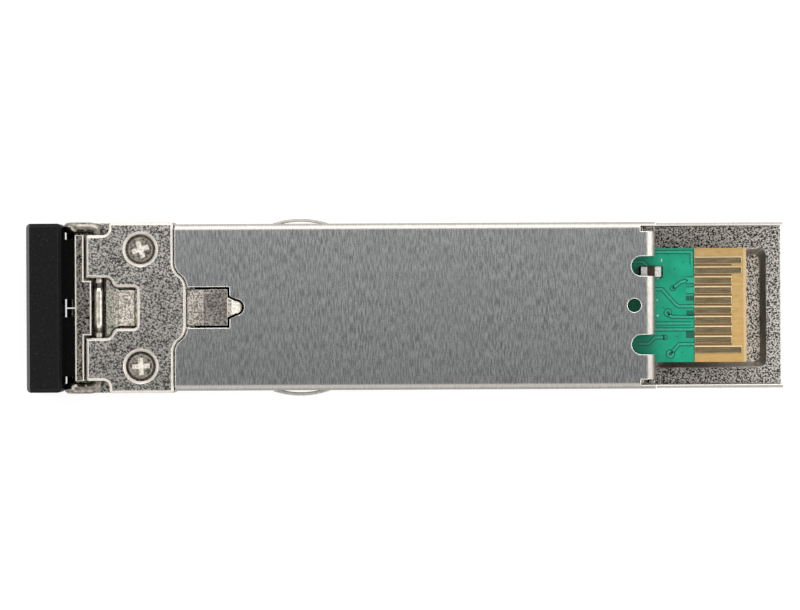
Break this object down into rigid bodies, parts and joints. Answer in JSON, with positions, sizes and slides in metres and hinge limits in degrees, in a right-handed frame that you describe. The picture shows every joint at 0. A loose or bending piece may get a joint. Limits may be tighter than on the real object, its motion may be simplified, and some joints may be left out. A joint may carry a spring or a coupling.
{
  "type": "sfp transceiver",
  "caption": "Pluggable optical transceiver module with a sheet shield, card edge, wire bail, latch lever and a dust plug in its paired fibre ports.",
  "frame": {"origin": "on the label face, on the centre plane, in the plane of the latch shoulder", "axes": "+X from the ports towards the card edge, +Z out of the latch face, and +Y to the left for someone who looks along +X with the latch face up"},
  "size_m": [0.0609, 0.0144, 0.0089],
  "materials": {
    "casting": "nickel-plated die casting, fine matt grain",
    "sheet_steel": "brushed thin sheet",
    "bright_steel": "bright turned metal",
    "wire_steel": "polished drawn wire",
    "board": "green solder mask over glass laminate",
    "gold": "gold plated",
    "chip_black": "moulded package",
    "capacitor_tan": "fired ceramic",
    "resistor_black": "glazed chip",
    "pad_grey": "soft silicone",
    "flex_amber": "polyimide film",
    "sleeve_white": "ground zirconia",
    "holder_black": "moulded",
    "plug_black": "moulded, fine specks"
  },
  "bodies": {
    "module": {"base_housing": "casting", "front_plate": "casting", "front_screws": "bright_steel", "shield_cover": "sheet_steel", "circuit_board": "board", "latch_side_contacts": "gold", "label_side_contacts": "gold", "controller_chip": "chip_black", "laser_driver_chip": "chip_black", "receiver_amplifier_chip": "chip_black", "memory_chip": "chip_black", "chip_capacitors": "capacitor_tan", "chip_resistors": "resistor_black", "thermal_pad": "pad_grey", "transmitter_barrel": "bright_steel", "transmitter_can": "gold", "transmitter_flex": "flex_amber", "receiver_barrel": "bright_steel", "receiver_can": "gold", "receiver_flex": "flex_amber", "ferrule_sleeves": "sleeve_white", "shielding_plate": "sheet_steel", "barrel_holder": "holder_black", "latch_pin": "bright_steel"},
    "bail": {"bail_wire": "wire_steel"},
    "latch": {"latch_lever": "casting"},
    "plug": {"dust_plug": "plug_black"}
  },
  "joints": [
    {"name": "plug_pull", "type": "slide", "parent": "module", "child": "plug", "axis": [-1, 0, 0], "range_m": [0, 0.05]},
    {"name": "bail_swing", "type": "hinge", "parent": "module", "child": "bail", "pos_m": [-0.01036, 0, 0.0072], "axis": [0, 1, 0], "range_deg": [0, 90]},
    {"name": "latch_rock", "type": "hinge", "parent": "module", "child": "latch", "pos_m": [-0.0052, 0, 0.0073], "axis": [0, 1, 0], "range_deg": [0, 6]}
  ],
  "couplings": [
    {"joint": "bail_swing", "follows": "plug_pull", "rad_per_m": 31.415},
    {"joint": "latch_rock", "follows": "plug_pull", "rad_per_m": 2.094}
  ]
}
